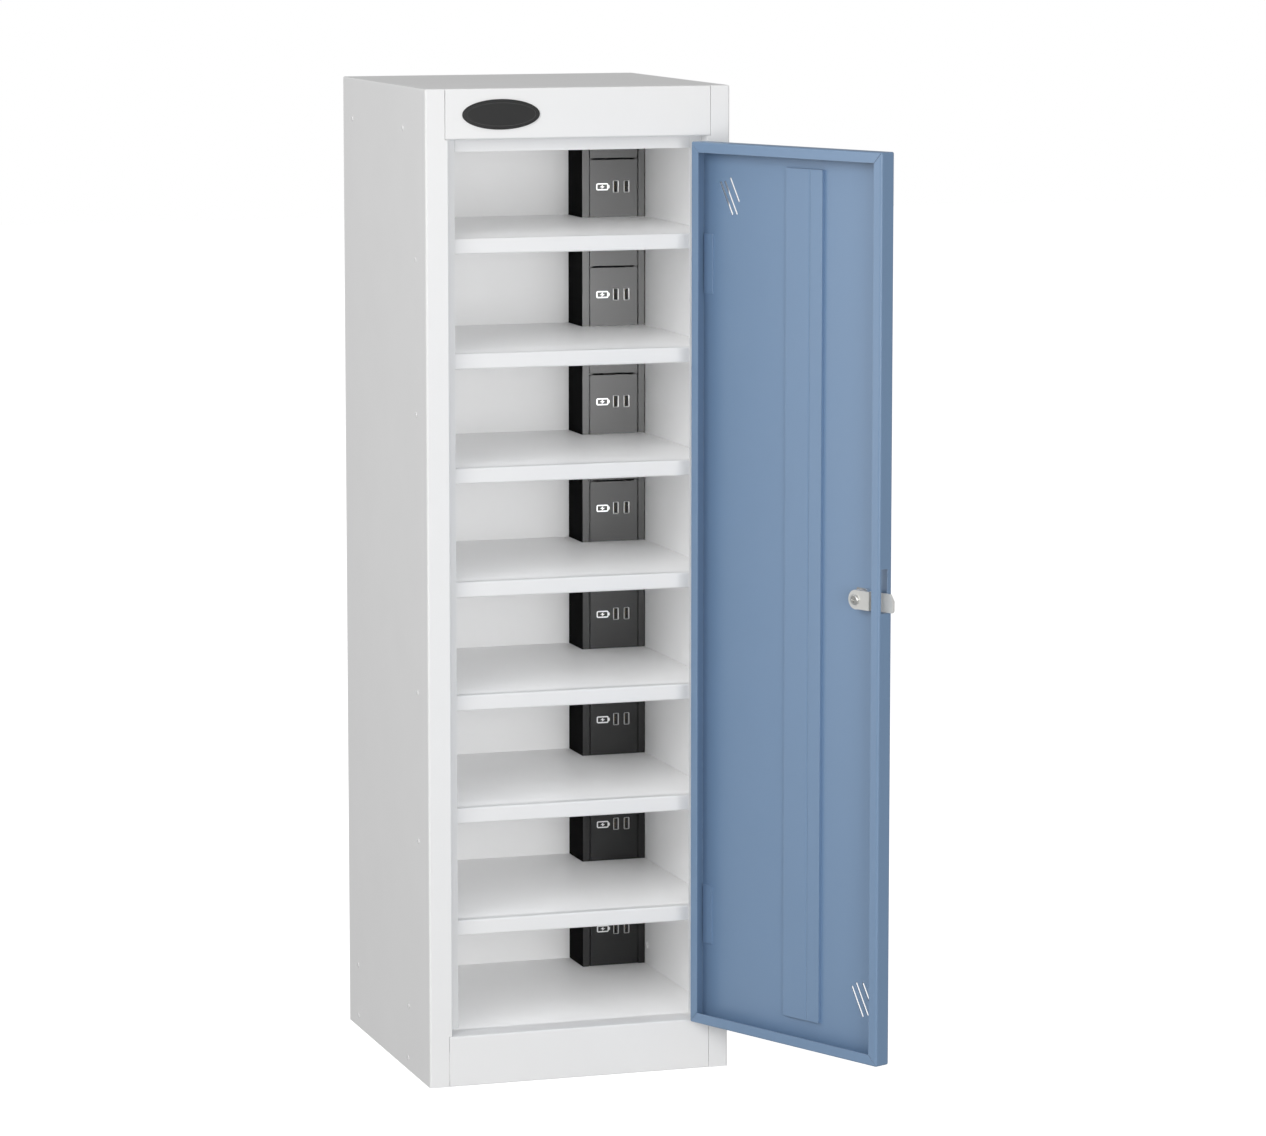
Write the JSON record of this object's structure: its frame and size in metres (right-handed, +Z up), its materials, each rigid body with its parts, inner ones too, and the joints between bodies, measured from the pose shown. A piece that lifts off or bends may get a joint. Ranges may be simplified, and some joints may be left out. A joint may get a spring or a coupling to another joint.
{
  "type": "phone charging locker",
  "caption": "Tall narrow steel charging locker with one full-height door, open shelves and a rear column of twin charging sockets.",
  "frame": {"origin": "centre of the cabinet's footprint on the floor, without the open door", "axes": "+X to the right seen from the front, +Y to the back, +Z up; the door's hinge line is vertical at the front right"},
  "size_m": [0.3974, 0.5833, 1],
  "materials": {
    "cabinet_white": "fine-textured white powder coat on steel sheet",
    "cap_white": "smooth white plastic",
    "door_blue": "fine-textured mid-blue powder coat on steel sheet",
    "badge_black": "satin black moulding with a bright rim",
    "column_black": "satin black powder coat",
    "plate_black": "satin black moulding",
    "tongue_plastic": "black contact carrier",
    "contact_metal": "nickel-plated",
    "supply_case": "brushed sheet case",
    "fastener_steel": "zinc-plated",
    "lead_sleeve": "black sleeve",
    "inlet_black": "black moulding",
    "hinge_steel": "plain steel pin",
    "lock_chrome": "bright chrome on zinc",
    "cam_steel": "zinc-plated steel plate"
  },
  "bodies": {
    "carcass": {"left_side_panel": "cabinet_white", "right_side_panel": "cabinet_white", "side_caps": "cap_white", "nesting_plug": "cap_white", "back_panel": "cabinet_white", "top_panel": "cabinet_white", "fascia": "cabinet_white", "badge": "badge_black", "ceiling_panel": "cabinet_white", "floor_tray": "cabinet_white", "kickplate": "cabinet_white", "tower_body": "column_black", "tower_blank": "plate_black", "usb_tongues": "tongue_plastic", "power_supply": "supply_case", "supply_screws": "fastener_steel", "power_leads": "lead_sleeve", "mains_inlet": "inlet_black", "inlet_pins": "contact_metal", "inlet_screws": "fastener_steel", "lower_hinge_fixed_leaf": "cabinet_white", "upper_hinge_fixed_leaf": "cabinet_white", "lower_hinge_pin": "hinge_steel", "upper_hinge_pin": "hinge_steel", "shelf_1": "cabinet_white", "shelf_2": "cabinet_white", "shelf_3": "cabinet_white", "shelf_4": "cabinet_white", "shelf_5": "cabinet_white", "shelf_6": "cabinet_white", "shelf_7": "cabinet_white", "charger_module_1": "plate_black", "charger_module_2": "plate_black", "charger_module_3": "plate_black", "charger_module_4": "plate_black", "charger_module_5": "plate_black", "charger_module_6": "plate_black", "charger_module_7": "plate_black", "charger_module_8": "plate_black", "usb_shells_1": "contact_metal", "usb_shells_2": "contact_metal", "usb_shells_3": "contact_metal", "usb_shells_4": "contact_metal", "usb_shells_5": "contact_metal", "usb_shells_6": "contact_metal", "usb_shells_7": "contact_metal", "usb_shells_8": "contact_metal"},
    "door": {"door_panel": "door_blue", "door_stiffener": "door_blue", "lower_hinge_moving_leaf": "door_blue", "upper_hinge_moving_leaf": "door_blue", "lock_housing": "lock_chrome", "lock_nut": "lock_chrome"},
    "lock_core": {"lock_plug": "lock_chrome", "lock_cam": "cam_steel", "cam_screw": "fastener_steel"}
  },
  "joints": [
    {"name": "door_hinge", "type": "hinge", "parent": "carcass", "child": "door", "pos_m": [0.1326, -0.1643, 0.5], "axis": [0, 0, 1], "range_deg": [-114.75, 65.25]},
    {"name": "lock_turn", "type": "hinge", "parent": "door", "child": "lock_core", "pos_m": [0.21553, -0.37834, 0.51], "axis": [-0.9081, -0.4187, 0], "range_deg": [0, 90]}
  ]
}
